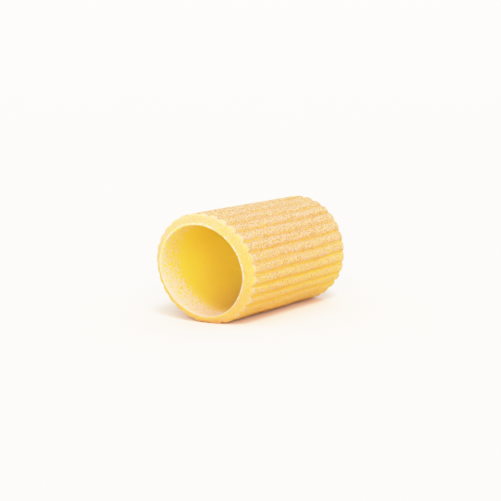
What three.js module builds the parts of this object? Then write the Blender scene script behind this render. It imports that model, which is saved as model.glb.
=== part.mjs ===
import * as THREE from 'three';
import { mergeVertices } from 'three/addons/utils/BufferGeometryUtils.js';

// One short ridged tube of dried dough, lying on its side. Millimetres, +Z up.
// The bore runs along X. The end at -X is the slanted one that faces the viewer.

// Overall tube.
const ridgeToRidgeDiameter = 15.0;
const tubeLength = 23.9;
const restFlat = 0.2;

// Ridges pressed along the outside by the die.
const ridgeCount = 30;
const ridgeDepth = 0.33;
const ridgeDepthSpread = 0.13;
const ridgeDepthDrift = 0.08;
const grooveHalfAngleDeg = 2.1;
const firstGrooveDeg = -1.2;
const twistDegPerMm = 0.067;

// Bore, a little oval, sitting low so that the roof is the thickest wall.
const boreWidth = 12.3;
const boreHeight = 12.04;
const boreDrop = 0.14;
const boreWaist = 0.12;

// Near end, at -X: cut at a slant, with the inner lip reaching furthest.
const nearSlantAcross = -0.096;
const nearSlantUp = -0.124;
const nearLipReach = 0.87;

// Far end, at +X: cut nearly square, and also furthest out at the inner lip.
const farSlantAcross = 0.012;
const farSlantUp = -0.02;
const farLipReach = 0.55;

// Each cut: a rounded outer edge, a plain slope, then a fine edge at the bore.
// The shares are parts of the wall's thickness, counted from the outside in.
const edgeRound = 0.34;
const edgeMidInset = 0.1;
const edgeShare = 0.05;
const slopeShare = 0.2;
const lipShare = 0.96;
const lipRound = 0.06;

// Drying leaves the dough slightly out of round and the cuts slightly wavy.
const outOfRound = 0.05;
const boreRipple = 0.04;
const cutWave = 0.06;

const facetsPerRidge = 6;
const outerRows = 6;
const boreRows = 4;

const facetCount = ridgeCount * facetsPerRidge;
const crestRadius = ridgeToRidgeDiameter / 2;
const degree = Math.PI / 180;

// Wall section as a list of stations. wall is 0 at the outside and 1 at the bore.
// A station on a cut names its end and how far it is inset from the cut; one between
// the cuts gives its share of the length instead, as along.
function cutStations(end) {
  return [
    { end, wall: 0, inset: edgeRound },
    { end, wall: edgeShare, inset: edgeMidInset },
    { end, wall: slopeShare, inset: 0 },
    { end, wall: lipShare, inset: 0 },
    { end, wall: 1, inset: lipRound },
    { end, wall: 1, inset: edgeRound },
  ];
}

function sideStations(wall, rows) {
  return Array.from({ length: rows }, (_, row) => ({ wall, along: (row + 1) / (rows + 1) }));
}

const section = [
  ...sideStations(0, outerRows),
  ...cutStations('far'),
  ...sideStations(1, boreRows).reverse(),
  ...cutStations('near').reverse(),
];
section.push(section[0]);

// Depth of the groove at a turn around the tube, from 1 in a groove's floor to 0 on a crest.
function grooveShare(turnDeg) {
  const pitch = 360 / ridgeCount;
  const offset = turnDeg - pitch * Math.round(turnDeg / pitch);
  return Math.exp(-((offset / grooveHalfAngleDeg) ** 2));
}

// Outer skin: no two ridges are pressed to quite the same depth.
function outerRadius(turnDeg, x) {
  const turn = turnDeg * degree;
  const sag = outOfRound * (Math.cos(2 * turn + 0.7) + 0.6 * Math.sin(3 * turn + 0.11 * x));
  const spread = ridgeDepthSpread * Math.sin(5 * turn + 1.3);
  const drift = ridgeDepthDrift * Math.sin(11 * turn - 0.2 * x);
  return crestRadius + sag - ridgeDepth * (1 + spread + drift) * grooveShare(turnDeg);
}

// Bore wall: an oval that narrows slightly towards the middle of the tube.
function boreRadius(turnDeg, x) {
  const turn = turnDeg * degree;
  const across = boreWidth / 2;
  const up = boreHeight / 2;
  const oval = (across * up) / Math.hypot(up * Math.cos(turn), across * Math.sin(turn));
  const waist = boreWaist * Math.cos((Math.PI * x) / tubeLength) ** 2;
  return oval - waist + boreRipple * Math.sin(4 * turn + 0.25 * x);
}

// Where each cut lies along X, for a point at y, z and a given radius from the axis.
function cutPosition(end, turnDeg, y, z, radius) {
  const near = end === 'near';
  const across = near ? nearSlantAcross : farSlantAcross;
  const up = near ? nearSlantUp : farSlantUp;
  const reach = near ? nearLipReach : farLipReach;
  const middle = ((near ? -1 : 1) * tubeLength) / 2;
  const cone = (reach * (crestRadius - radius)) / (crestRadius - boreWidth / 2);
  const wave = cutWave * Math.sin(3 * turnDeg * degree + (near ? 0.4 : 2.1));
  return middle + across * y + up * z + (near ? -cone : cone) + wave;
}

// One point of the tube wall. The turn is counted from -Y towards +Z.
function wallPoint(station, facet) {
  const turnDeg = (360 * facet) / facetCount;
  const middleX = station.along === undefined
    ? ((station.end === 'near' ? -1 : 1) * tubeLength) / 2
    : (station.along - 0.5) * tubeLength;
  const placed = (turnDeg + firstGrooveDeg + twistDegPerMm * middleX) * degree;
  const outer = outerRadius(turnDeg, middleX);
  const inner = boreRadius(turnDeg, middleX);
  const radius = outer + (inner - outer) * station.wall;
  const drop = boreDrop * station.wall;
  const y = -radius * Math.cos(placed);
  const z = radius * Math.sin(placed) - drop;
  const nearX = cutPosition('near', turnDeg, y, z, radius);
  const farX = cutPosition('far', turnDeg, y, z, radius);
  let x = nearX + (farX - nearX) * (station.along ?? 0);
  if (station.end === 'near') x = nearX + station.inset;
  if (station.end === 'far') x = farX - station.inset;
  return new THREE.Vector3(x, y, Math.max(z, restFlat - crestRadius));
}

// The section is turned into a closed ring of facets, and every vertex of that ring
// is then moved to its place on the ridged, slanted tube.
function tubeGeometry() {
  const profile = section.map((station, index) => new THREE.Vector2(crestRadius - station.wall, index));
  const turned = new THREE.LatheGeometry(profile, facetCount);
  const position = turned.getAttribute('position');
  for (let index = 0; index < position.count; index += 1) {
    const station = section[index % section.length];
    const facet = Math.floor(index / section.length) % facetCount;
    const point = wallPoint(station, facet);
    position.setXYZ(index, point.x, point.y, point.z);
  }
  turned.deleteAttribute('normal');
  turned.deleteAttribute('uv');
  return mergeVertices(turned, 1e-5);
}

// The enclosed volume, negative when the facets face inwards.
function signedVolume(geometry) {
  const position = geometry.getAttribute('position');
  const order = geometry.getIndex();
  const [a, b, c] = [new THREE.Vector3(), new THREE.Vector3(), new THREE.Vector3()];
  let total = 0;
  for (let corner = 0; corner < order.count; corner += 3) {
    a.fromBufferAttribute(position, order.getX(corner));
    b.fromBufferAttribute(position, order.getX(corner + 1));
    c.fromBufferAttribute(position, order.getX(corner + 2));
    total += a.dot(b.cross(c));
  }
  return total / 6;
}

function faceOutwards(geometry) {
  if (signedVolume(geometry) > 0) return;
  const order = geometry.getIndex();
  for (let corner = 0; corner < order.count; corner += 3) {
    const second = order.getX(corner + 1);
    order.setX(corner + 1, order.getX(corner + 2));
    order.setX(corner + 2, second);
  }
}

// The tube is set down on z = 0 with its bounding box centred over the origin.
const geometry = tubeGeometry();
faceOutwards(geometry);
geometry.computeBoundingBox();
const low = geometry.boundingBox.min;
const high = geometry.boundingBox.max;
geometry.translate(-(low.x + high.x) / 2, -(low.y + high.y) / 2, -low.z);
geometry.computeVertexNormals();

const dough = new THREE.MeshStandardMaterial({
  color: new THREE.Color(0.86, 0.66, 0.36),
  roughness: 0.72,
  metalness: 0.0,
});

const tube = new THREE.Mesh(geometry, dough);
tube.name = 'ridged_tube';

const group = new THREE.Group();
group.name = 'mezze_maniche';
group.add(tube);

export default group;
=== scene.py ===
import math
import random

import bmesh
import bpy
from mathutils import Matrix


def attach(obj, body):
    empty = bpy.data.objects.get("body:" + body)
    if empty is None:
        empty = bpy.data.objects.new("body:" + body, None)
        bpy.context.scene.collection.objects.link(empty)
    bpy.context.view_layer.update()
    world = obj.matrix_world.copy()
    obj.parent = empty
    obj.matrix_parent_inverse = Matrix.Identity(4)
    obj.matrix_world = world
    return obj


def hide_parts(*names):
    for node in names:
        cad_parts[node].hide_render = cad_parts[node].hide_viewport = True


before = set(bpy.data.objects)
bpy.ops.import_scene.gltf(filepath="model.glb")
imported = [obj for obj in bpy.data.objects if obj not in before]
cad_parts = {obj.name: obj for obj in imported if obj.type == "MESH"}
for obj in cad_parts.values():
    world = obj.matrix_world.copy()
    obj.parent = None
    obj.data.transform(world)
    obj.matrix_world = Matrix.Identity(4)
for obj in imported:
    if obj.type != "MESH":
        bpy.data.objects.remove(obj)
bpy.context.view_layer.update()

# ---------------------------------------------------------------------------------------
# The tube: semolina dough pushed through a ridged die, sliced off and dried hard. It is
# one closed shell: 30 ridges outside, a plain bore, and at each end a cut that slopes
# back from the lip of the bore to the crests of the ridges.
# ---------------------------------------------------------------------------------------
mm = 0.001
crest_radius = 7.5 * mm
tube_length = 23.9 * mm
rest_flat = 0.2 * mm
bore_across = 6.15 * mm
bore_up = 6.02 * mm
bore_drop = 0.14 * mm
wall = crest_radius - bore_across

# The axis stands where the flattened crests put it, and the middle between the two crest
# rings lies off the middle of the box because the near lip reaches further out.
axis_height = crest_radius - rest_flat
middle_x = 0.526 * mm
end_x = {"near": middle_x - tube_length / 2, "far": middle_x + tube_length / 2}
outwards = {"near": -1, "far": 1}
lip_reach = {"near": 0.87 * mm, "far": 0.55 * mm}

# The ridges, in degrees round the axis. Each groove is pressed in by its own depth, over
# groove_reach points on each side of its middle.
ridge_count = 30
ridge_depth = 0.33 * mm
depth_spread = 0.15
groove_half_turn = 2.1
first_groove_turn = -1.2
twist_turn = 1.6
points_per_ridge = 12
ridge_turn = 360 / ridge_count
point_turn = ridge_turn / points_per_ridge
turn_slack = point_turn / 4
groove_reach = 4

# The cut's outer edge is rounded, and the knife has smeared the last bit of each groove.
edge_round = 0.34 * mm
edge_share = 0.22
groove_end = 0.3 * mm
groove_left_at_cut = 0.9

# Rows of faces along the skin and the bore, fine enough for the dough's grain.
skin_rows = 143
bore_rows = 80


def turn_of(place):
    """Degrees round the axis, from the right-hand side (-Y) up over the roof."""
    return math.degrees(math.atan2(place.z - axis_height, -place.y)) % 360


def turn_between(one, other):
    """The smaller angle between two turns, in degrees."""
    return abs((one - other + 180) % 360 - 180)


def pick(test):
    """Selects the vertices that pass the test, with the edges and faces between them."""
    bpy.ops.mesh.select_mode(type="VERT")
    bpy.ops.mesh.select_all(action="DESELECT")
    shell = bmesh.from_edit_mesh(tube.data)
    for vertex in shell.verts:
        vertex.select = test(vertex.co)
    shell.select_flush_mode()
    bmesh.update_edit_mesh(tube.data)


def pick_edges(test):
    """Selects the edges that pass the test, and nothing else."""
    bpy.ops.mesh.select_mode(type="EDGE")
    bpy.ops.mesh.select_all(action="DESELECT")
    shell = bmesh.from_edit_mesh(tube.data)
    for edge in shell.edges:
        edge.select = test(edge)
    bmesh.update_edit_mesh(tube.data)


def turn_about_axis(degrees, x):
    """Turns the selection round the tube's axis. With no window Blender turns the other way."""
    bpy.ops.transform.rotate(
        value=-math.radians(degrees), orient_axis="X", center_override=(x, 0, axis_height)
    )


skin_start = end_x["near"] + edge_round + groove_end
skin_end = end_x["far"] - edge_round - groove_end
bpy.ops.object.select_all(action="DESELECT")
bpy.ops.mesh.primitive_circle_add(
    vertices=ridge_count * points_per_ridge,
    radius=crest_radius,
    fill_type="NOTHING",
    location=(skin_start, 0, axis_height),
    rotation=(0, math.pi / 2, 0),
)
tube = bpy.context.object
tube.name = "pasta_tube"
bpy.ops.object.transform_apply(location=True, rotation=True, scale=True)
bpy.ops.object.mode_set(mode="EDIT")

# The outline of the die. A groove's floor also lies further out along the tube than the
# crests, because the knife's cut slopes.
chance = random.Random(7)
for ridge in range(ridge_count):
    depth = ridge_depth * chance.uniform(1 - depth_spread, 1 + depth_spread)
    for point in range(-groove_reach, groove_reach + 1):
        turn = ridge * ridge_turn + point * point_turn
        dip = depth * math.exp(-((point * point_turn / groove_half_turn) ** 2))
        size = 1 - dip / crest_radius
        pick(lambda place: turn_between(turn_of(place), turn) < turn_slack)
        bpy.ops.transform.resize(value=(1, size, size), center_override=(0, 0, axis_height))
        bpy.ops.transform.translate(value=(-lip_reach["near"] * dip / wall, 0, 0))
bpy.ops.mesh.select_all(action="SELECT")
turn_about_axis(twist_turn / 2 - first_groove_turn, skin_start)

# The outer skin: the ring is drawn out to the far end, turning a little as it goes.
far_slope = -lip_reach["far"] / lip_reach["near"]
bpy.ops.mesh.extrude_region_move(TRANSFORM_OT_translate={"value": (skin_end - skin_start, 0, 0)})
bpy.ops.transform.resize(value=(far_slope, 1, 1), center_override=(skin_end, 0, axis_height))
turn_about_axis(-twist_turn, skin_end)
pick_edges(lambda edge: abs(edge.verts[0].co.x - edge.verts[1].co.x) > tube_length / 2)
bpy.ops.mesh.subdivide(number_cuts=skin_rows)

# Each cut, ring by ring: along the smeared groove ends, over the rounded outer edge and
# the sloping face, round the fine edge of the lip, and a little way into the bore.
lip_round = 0.06 * mm
mouth_depth = 0.6 * mm
groove_end_rings = 3
edge_rings = 6
face_rings = 4
lip_rings = 4
mouth_rings = 3


def cut_rings():
    """The rings of a cut: how much of the grooves is left, the share of the wall that the
    ring is drawn in, and how far it lies behind the knife's cut."""
    for ring in range(1, groove_end_rings + 1):
        way = ring / groove_end_rings
        left = 1 - (1 - groove_left_at_cut) * way ** 2
        yield left, 0, edge_round + groove_end * (1 - way)
    for ring in range(1, edge_rings + 1):
        swing = math.radians(90 * ring / edge_rings)
        share = edge_share * (1 - math.cos(swing))
        yield groove_left_at_cut * (1 - share), share, edge_round * (1 - math.sin(swing))
    lip_share = 1 - lip_round / wall
    for ring in range(1, face_rings + 1):
        share = edge_share + (lip_share - edge_share) * ring / face_rings
        yield groove_left_at_cut * (1 - share), share, 0
    for ring in range(1, lip_rings + 1):
        swing = math.radians(90 * ring / lip_rings)
        share = lip_share + (1 - lip_share) * math.sin(swing)
        yield groove_left_at_cut * (1 - share), share, lip_round * (1 - math.cos(swing))
    for ring in range(1, mouth_rings + 1):
        yield 0, 1, lip_round + (mouth_depth - lip_round) * ring / mouth_rings


def picked_radius():
    """Mean distance of the selected ring's vertices from the ring's middle."""
    shell = bmesh.from_edit_mesh(tube.data)
    ring = [edge.verts[0].co for edge in shell.edges if edge.select]
    middle_height = (max(place.z for place in ring) + min(place.z for place in ring)) / 2
    return sum(math.hypot(place.y, place.z - middle_height) for place in ring) / len(ring)


for end in ("near", "far"):
    pick_edges(lambda edge: edge.is_boundary and (edge.verts[0].co.x - middle_x) * outwards[end] > 0)
    left = 1
    share = 0
    behind = edge_round + groove_end
    for next_left, next_share, next_behind in cut_rings():
        bpy.ops.mesh.extrude_region_move()
        if left > 0:
            # To-sphere takes the grooves out, and the resize sets the ring's own size.
            kept = next_left / left
            crest_size = crest_radius - wall * share
            next_crest_size = crest_radius - wall * next_share
            size = kept + (next_crest_size - kept * crest_size) / picked_radius()
            bpy.ops.transform.tosphere(value=1 - kept / size)
            crest_x = end_x[end] + outwards[end] * (lip_reach[end] * share - behind)
            oval = (bore_up / bore_across) ** (next_share - share)
            bpy.ops.transform.resize(
                value=(kept, size, size * oval),
                center_override=(crest_x, 0, axis_height - bore_drop * share),
            )
        ahead = lip_reach[end] * (next_share - share) + behind - next_behind
        drop = bore_drop * (next_share - share)
        bpy.ops.transform.translate(value=(outwards[end] * ahead, 0, -drop))
        left = next_left
        share = next_share
        behind = next_behind

# The bore: the two inner rims are joined through the tube, and the shell is closed.
merge_within = 0.001 * mm
pick_edges(lambda edge: edge.is_boundary)
bpy.ops.mesh.bridge_edge_loops(number_cuts=bore_rows, interpolation="LINEAR")
bpy.ops.mesh.select_all(action="SELECT")
bpy.ops.mesh.remove_doubles(threshold=merge_within)
bpy.ops.mesh.normals_make_consistent(inside=False)
bpy.ops.object.mode_set(mode="OBJECT")

# Two measures of the plain tube, in millimetres, stay on its points for the finish: the
# distance from the axis, and the distance behind the nearer cut. The relief below is
# stronger on the die's side than in the bore, and fades between the two.
die_side_from = 6.6 * mm
die_side_fade = 0.4 * mm
cut_side_to = 0.1 * mm
cut_side_fade = 0.3 * mm
axis_distances = []
cut_distances = []
die_side = tube.vertex_groups.new(name="die_side")
bore_side = tube.vertex_groups.new(name="bore_side")
for vertex in tube.data.vertices:
    distance = math.hypot(vertex.co.y, vertex.co.z - axis_height)
    cone = (crest_radius - distance) / wall
    near = vertex.co.x - end_x["near"] + lip_reach["near"] * cone
    far = end_x["far"] - vertex.co.x + lip_reach["far"] * cone
    axis_distances.append(distance / mm)
    cut_distances.append(min(near, far) / mm)
    pressed = min(max((distance - die_side_from) / die_side_fade, 0), 1)
    pressed *= min(max((min(near, far) - cut_side_to) / cut_side_fade, 0), 1)
    die_side.add([vertex.index], pressed, "REPLACE")
    bore_side.add([vertex.index], 1 - pressed, "REPLACE")
for name, distances in (("from_axis", axis_distances), ("from_cut", cut_distances)):
    tube.data.attributes.new(name, "FLOAT", "POINT").data.foreach_set("value", distances)

# The knife's slant: a cage of eight corners, a little larger than the tube, leans both
# cuts and all that lies between them. A slant is how far the cut leans along the tube for
# each unit across it or up it.
slant_across = {"near": -0.096, "far": 0.012}
slant_up = {"near": -0.124, "far": -0.02}
spare_length = 2 * mm
spare_width = 1 * mm
cage_length = tube_length + spare_length
cage_width = 2 * crest_radius + spare_width

bpy.ops.object.select_all(action="DESELECT")
bpy.ops.object.add(type="LATTICE", location=(middle_x, 0, axis_height))
cage = bpy.context.object
cage.scale = (cage_length, cage_width, cage_width)
cage.data.interpolation_type_u = "KEY_LINEAR"
cage.data.interpolation_type_v = "KEY_LINEAR"
cage.data.interpolation_type_w = "KEY_LINEAR"
for corner in cage.data.points:
    end = "near" if corner.co.x < 0 else "far"
    lean = slant_across[end] * corner.co.y + slant_up[end] * corner.co.z
    corner.co_deform.x += lean * cage_width / cage_length
bpy.context.view_layer.objects.active = tube
bpy.ops.object.modifier_add(type="LATTICE")
tube.modifiers[-1].object = cage
bpy.ops.object.modifier_apply(modifier=tube.modifiers[-1].name)
bpy.data.objects.remove(cage)


def relief(name, lump, height, group="", direction="NORMAL"):
    """Raises and sinks the surface in a cloudy pattern of that lump size and height."""
    pattern = bpy.data.textures.new(name, "CLOUDS")
    pattern.noise_scale = lump
    pattern.noise_depth = 1
    pattern.cloud_type = "COLOR" if direction == "RGB_TO_XYZ" else "GRAYSCALE"
    bpy.ops.object.modifier_add(type="DISPLACE")
    push = tube.modifiers[-1]
    push.texture = pattern
    push.texture_coords = "LOCAL"
    push.direction = direction
    push.strength = height
    push.mid_level = 0.5
    push.vertex_group = group
    bpy.ops.object.modifier_apply(modifier=push.name)


# What drying and the rough die leave: the whole wall wavers a little, and every surface
# is grainy.
relief("drying", lump=7 * mm, height=0.3 * mm, direction="RGB_TO_XYZ")
relief("wavering", lump=1.8 * mm, height=0.045 * mm, group="die_side")
relief("wavering", lump=1.8 * mm, height=0.05 * mm, group="bore_side")
relief("grain", lump=0.34 * mm, height=0.1 * mm, group="die_side")
relief("grain", lump=0.34 * mm, height=0.05 * mm, group="bore_side")

# The lowest ridges are pressed flat where the soft dough lay while it dried.
bpy.ops.object.mode_set(mode="EDIT")
pick(lambda place: place.z < 0)
bpy.ops.transform.resize(value=(1, 1, 0), center_override=(0, 0, 0))
bpy.ops.object.mode_set(mode="OBJECT")
bpy.ops.object.shade_smooth()

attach(tube, "root")
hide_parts("ridged_tube")


class Wire:
    """An output socket of the material that is being made. A sum on wires adds Math nodes."""

    tree = None

    def __init__(self, socket):
        self.socket = socket

    @classmethod
    def node(cls, kind, settings, sockets, output=0):
        """Adds a node, sets it up, fills or links its inputs, and gives one output back."""
        node = cls.tree.nodes.new(kind)
        for name, value in settings.items():
            setattr(node, name, value)
        for name, value in sockets.items():
            if isinstance(value, Wire):
                cls.tree.links.new(value.socket, node.inputs[name])
            else:
                node.inputs[name].default_value = value
        return cls(node.outputs[output]) if node.outputs else node

    @classmethod
    def sum(cls, operation, left, right):
        return cls.node("ShaderNodeMath", {"operation": operation}, {0: left, 1: right})

    def __add__(self, other):
        return Wire.sum("ADD", self, other)

    def __radd__(self, other):
        return Wire.sum("ADD", other, self)

    def __sub__(self, other):
        return Wire.sum("SUBTRACT", self, other)

    def __rsub__(self, other):
        return Wire.sum("SUBTRACT", other, self)

    def __mul__(self, other):
        return Wire.sum("MULTIPLY", self, other)

    def __rmul__(self, other):
        return Wire.sum("MULTIPLY", other, self)


def rise(value, low, high):
    """0 at low and 1 at high, with a smooth step between. Low may be the larger."""
    return Wire.node(
        "ShaderNodeMapRange",
        {"interpolation_type": "SMOOTHSTEP"},
        {"Value": value, "From Min": low, "From Max": high},
    )


def mix(share, one, other):
    """One colour where share is 0, going over to the other where it is 1."""
    return Wire.node(
        "ShaderNodeMix", {"data_type": "RGBA"}, {"Factor": share, 6: one, 7: other}, output=2
    )


def clouds(lumps, detail, roughness=0.5):
    """A cloudy pattern from 0 to 1 with that many lumps to the millimetre."""
    return Wire.node(
        "ShaderNodeTexNoise",
        {"noise_dimensions": "3D"},
        {"Vector": millimetres, "Scale": lumps, "Detail": detail, "Roughness": roughness},
    )


def measure(name):
    """A measure that the mesh keeps on its points."""
    return Wire.node("ShaderNodeAttribute", {"attribute_name": name}, {}, output="Fac")


# The dough's own finish: golden and translucent where it is bare, with pale floury starch,
# which lets some light through too, on what the die and the knife roughened. Places and
# distances are in millimetres.
dough = bpy.data.materials.new("dry_dough")
dough.use_nodes = True
dough.node_tree.nodes.clear()
Wire.tree = dough.node_tree
metres = Wire.node("ShaderNodeTexCoord", {}, {}, output="Object")
millimetres = Wire.node("ShaderNodeVectorMath", {"operation": "SCALE"}, {0: metres, "Scale": 1 / mm})
along = Wire.node("ShaderNodeSeparateXYZ", {}, {"Vector": millimetres}, output="X")
across = Wire.node("ShaderNodeSeparateXYZ", {}, {"Vector": millimetres}, output="Y")
up = Wire.node("ShaderNodeSeparateXYZ", {}, {"Vector": millimetres}, output="Z")
from_axis = measure("from_axis")
from_cut = measure("from_cut")

# Bare dough on the crests, in the grooves, on the cuts and in the bore, then flour: dull
# and bright specks on the ridges, and the whiter flour of the cuts and the mouths.
skin_gold = (1.00, 0.405, 0.046, 1)
groove_gold = (0.98, 0.405, 0.036, 1)
cut_gold = (0.97, 0.335, 0.037, 1)
# The bore's gold is paler than the skin's: partly the dough's own colour, partly a painted glow of
# the light caught inside the bore.
bore_gold_with_painted_glow = (1.00, 0.545, 0.052, 1)
flour_shade = (0.38, 0.225, 0.090, 1)
flour_white = (0.63, 0.430, 0.470, 1)
lip_white = (0.92, 0.612, 0.610, 1)

# Parts of the surface, each 1 where its name says and 0 elsewhere. A mouth is the first
# few millimetres of the bore, and the brim is the mouth's edge.
crest = rise(from_axis, 7.2, 7.46)
outside = rise(from_axis, 6.75, 6.95) * rise(from_cut, 0.1, 0.3)
bore = rise(from_axis, 6.4, 6.25)
ridge_end = rise(from_axis, 7.08, 7.25) * rise(from_cut, 0.75, 0.35)
mouth = bore * rise(from_cut, 6.5, 0.8)
brim = bore * rise(from_cut, 1.6, 0.2)
# Painted light: 1 at the near end, where the mouth's flour is made thicker as if lit through the
# near mouth.
painted_light_near_end = rise(along, 4.0, -4.0)
# Painted light: 1 towards the upper left of the cuts, which are painted paler there as if lit.
painted_light_upper_left = rise(0.055 * across + 0.11 * (up - axis_height / mm), -0.3, 0.7)

# Flour lies where the grit and the coverage together pass the first number of a limit, in full from
# the second. It clings to the crests and the ridges' ends, and less of it lies underneath. The extra
# flour higher up is painted sheen, paling the roof.
outside_limit = (0.555, 0.605)
grit = clouds(lumps=5.0, detail=2.0, roughness=0.7)
# Painted sheen: more pale flour towards the top of the tube.
painted_sheen_higher_up = rise(up, 0.0, 14.0)
off_the_floor = rise(up, 0.0, 1.6)
coverage = 0.1 * crest + 0.2 * ridge_end + 0.2 * painted_sheen_higher_up + 0.2 * off_the_floor - 0.29
outside_thickness = 0.72 + 0.1 * ridge_end
outside_flour = outside * outside_thickness * rise(grit + coverage, *outside_limit)

# The knife's face is only dusted. The mouths of the bore are speckled with flour, most on the floor
# and at the near end; that extra flour is partly painted light, falling in through the near mouth
# onto the bore's floor.
dusting_limit = (0.54, 0.6)
mouth_limit = (0.69, 0.75)
# The extra dusting towards the upper left of the cut is painted light.
dusting = 0.1 + 0.08 * painted_light_upper_left + 0.3 * rise(grit + 0.12 * painted_light_upper_left, *dusting_limit)
cut_flour = (1 - outside) * (1 - bore) * dusting
coarse_grit = clouds(lumps=2.8, detail=2.0, roughness=0.7)
# Painted light: more flour low in the bore, where light falls on the bore's floor.
painted_light_low_in_bore = rise(up, 12.5, 1.5)
mouth_coverage = 0.13 * mouth + 0.05 * brim + 0.12 * painted_light_low_in_bore + 0.05 * painted_light_near_end
mouth_thickness = 0.5 + 0.35 * painted_light_near_end
mouth_flour = rise(mouth, 0.0, 0.5) * rise(coarse_grit + mouth_coverage, *mouth_limit)
floury = outside_flour + cut_flour + mouth_thickness * mouth_flour

# The colours of the bare dough and of the flour.
ribbed_gold = mix(crest, groove_gold, skin_gold)
gold = mix(bore, mix(outside, cut_gold, ribbed_gold), bore_gold_with_painted_glow)
speckle = rise(clouds(lumps=4.3, detail=1.0), 0.38, 0.6)
paleness = (1 - outside) * (0.6 + 0.4 * bore) + 0.35 * ridge_end
white = mix(paleness, mix(speckle, flour_shade, flour_white), lip_white)

# The grain, too fine for the mesh, roughens dough and flour alike.
grain = grit + 0.5 * clouds(lumps=7.0, detail=2.0, roughness=0.6)
bump = Wire.node("ShaderNodeBump", {}, {"Height": grain, "Distance": 0.8 * mm, "Strength": 1.0})
translucent = Wire.node(
    "ShaderNodeBsdfPrincipled",
    {"subsurface_method": "RANDOM_WALK"},
    {
        "Base Color": gold,
        "Roughness": 0.6,
        "Normal": bump,
        "Subsurface Weight": 1.0,
        "Subsurface Radius": (1.00, 0.84, 0.25),
        "Subsurface Scale": 8.7 * mm,
    },
)
chalky = Wire.node(
    "ShaderNodeBsdfPrincipled",
    {"subsurface_method": "RANDOM_WALK"},
    {
        "Base Color": white,
        "Roughness": 0.9,
        "Normal": bump,
        "Specular IOR Level": 0.3,
        "Subsurface Weight": 0.4,
        "Subsurface Radius": (1.0, 0.9, 0.7),
        "Subsurface Scale": 4.0 * mm,
    },
)
finish = Wire.node("ShaderNodeMixShader", {}, {0: floury, 1: translucent, 2: chalky})
Wire.node("ShaderNodeOutputMaterial", {}, {"Surface": finish})
tube.data.materials.append(dough)

# ---------------------------------------------------------------------------------------
# The floor: a plain pale sheet, flat where the tube lies and rising gently a long way off,
# so that it fills the view behind the tube from every side.
# ---------------------------------------------------------------------------------------
floor_flat = 0.5
floor_corners = 96
floor_colour = (0.64, 0.625, 0.60, 1)
floor_rise = ((0.8, 0.01), (1.2, 0.05), (1.8, 0.15), (2.5, 0.35))

bpy.ops.object.select_all(action="DESELECT")
bpy.ops.mesh.primitive_circle_add(vertices=floor_corners, radius=floor_flat, fill_type="NGON")
floor = bpy.context.object
floor.name = "pale_floor"
bpy.ops.object.mode_set(mode="EDIT")
reach = floor_flat
height = 0
for next_reach, next_height in floor_rise:
    bpy.ops.mesh.select_mode(type="EDGE")
    bpy.ops.mesh.select_all(action="DESELECT")
    ground = bmesh.from_edit_mesh(floor.data)
    for edge in ground.edges:
        edge.select = edge.is_boundary
    bmesh.update_edit_mesh(floor.data)
    bpy.ops.mesh.extrude_region_move()
    wider = next_reach / reach
    bpy.ops.transform.resize(value=(wider, wider, 1), center_override=(0, 0, 0))
    bpy.ops.transform.translate(value=(0, 0, next_height - height))
    reach = next_reach
    height = next_height
bpy.ops.object.mode_set(mode="OBJECT")
bpy.ops.object.shade_smooth()

paper = bpy.data.materials.new("pale_floor")
paper.use_nodes = True
coat = paper.node_tree.nodes["Principled BSDF"]
coat.inputs["Base Color"].default_value = floor_colour
coat.inputs["Roughness"].default_value = 0.8
coat.inputs["Specular IOR Level"].default_value = 0.2
floor.data.materials.append(paper)

# ---------------------------------------------------------------------------------------
# The light: a soft lamp from the front and high up, a very broad weak one overhead, a
# broad warm one low in front, which fills the mouth of the bore, and a pale room.
# ---------------------------------------------------------------------------------------
room_light = 1.22
room_colour = (1.0, 0.99, 0.98, 1)
lamp_height = 0.5


def add_lamp(name, towards, power, width, colour=(1.0, 1.0, 1.0)):
    """A lamp so far off that it lights all of the floor alike. Width is its spread in degrees."""
    bpy.ops.object.light_add(type="SUN", location=(0, 0, lamp_height))
    lamp = bpy.context.object
    lamp.name = name
    lamp.data.energy = power
    lamp.data.color = colour
    lamp.data.angle = math.radians(width)
    tilt = math.acos(towards[2] / math.hypot(*towards))
    lamp.rotation_euler = (tilt, 0, math.atan2(towards[0], -towards[1]))


add_lamp("soft_lamp", towards=(-0.45, -0.436, 0.778), power=1.85, width=14)
add_lamp("overhead_lamp", towards=(0.1, 0.3, 1.0), power=0.31, width=110)
add_lamp("front_lamp", towards=(-0.80, -0.55, 0.25), power=6.90, width=45, colour=(1.00, 0.73, 0.49))

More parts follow.
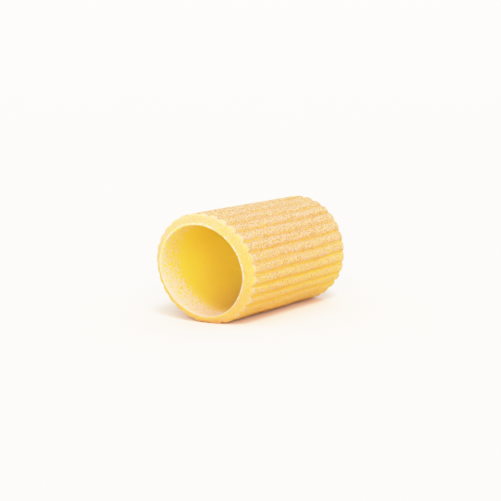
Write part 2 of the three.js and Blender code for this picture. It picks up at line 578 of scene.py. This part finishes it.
room = bpy.data.worlds.new("pale_room")
bpy.context.scene.world = room
room.use_nodes = True
room.node_tree.nodes["Background"].inputs["Color"].default_value = room_colour
room.node_tree.nodes["Background"].inputs["Strength"].default_value = room_light

# ---------------------------------------------------------------------------------------
# The camera: low in front of the slanted cut, a little to its right, and turned to the
# middle of the tube. Its lens and shift frame the tube as the photograph does.
# ---------------------------------------------------------------------------------------
view_turn = math.radians(-56.021)
view_height = math.radians(9.043)
view_distance = 190 * mm
target = (middle_x, 0, axis_height)
lens_length = 98.615
sensor_width = 36
shift_right = -0.00952
shift_up = 0.01361
nearest_seen = 0.01

bpy.ops.object.camera_add()
camera = bpy.context.object
camera.name = "camera"
camera.location = (
    target[0] + view_distance * math.sin(view_turn) * math.cos(view_height),
    target[1] - view_distance * math.cos(view_turn) * math.cos(view_height),
    target[2] + view_distance * math.sin(view_height),
)
camera.rotation_euler = (math.pi / 2 - view_height, 0, view_turn)
camera.data.lens = lens_length
camera.data.sensor_width = sensor_width
camera.data.shift_x = shift_right
camera.data.shift_y = shift_up
camera.data.clip_start = nearest_seen
bpy.context.scene.camera = camera

# ---------------------------------------------------------------------------------------
# The picture's tones: bright parts ease off towards white, as they do in the photograph.
# The curve is straight up to highlights_from, and its steps grow longer from there on.
# ---------------------------------------------------------------------------------------
highlights_from = 0.7
highlight_steps = 8
step_growth = 1.6
brightest = 3.0
left_to_white = 1 - highlights_from
combined_curve = 3

view = bpy.context.scene.view_settings
view.view_transform = "Standard"
view.use_curve_mapping = True
tones = view.curve_mapping
tones.clip_max_x = brightest
tones.clip_max_y = brightest
all_colours = tones.curves[combined_curve]
all_colours.points[1].location = (highlights_from, highlights_from)
for step in range(1, highlight_steps + 1):
    above = (brightest - highlights_from) * (step / highlight_steps) ** step_growth
    short_of_white = left_to_white * math.exp(-above / left_to_white)
    all_colours.points.new(highlights_from + above, 1 - short_of_white)
tones.update()

# Light may bounce many times inside the bore before it is spent.
bpy.context.scene.cycles.max_bounces = 24
bpy.context.scene.cycles.diffuse_bounces = 16
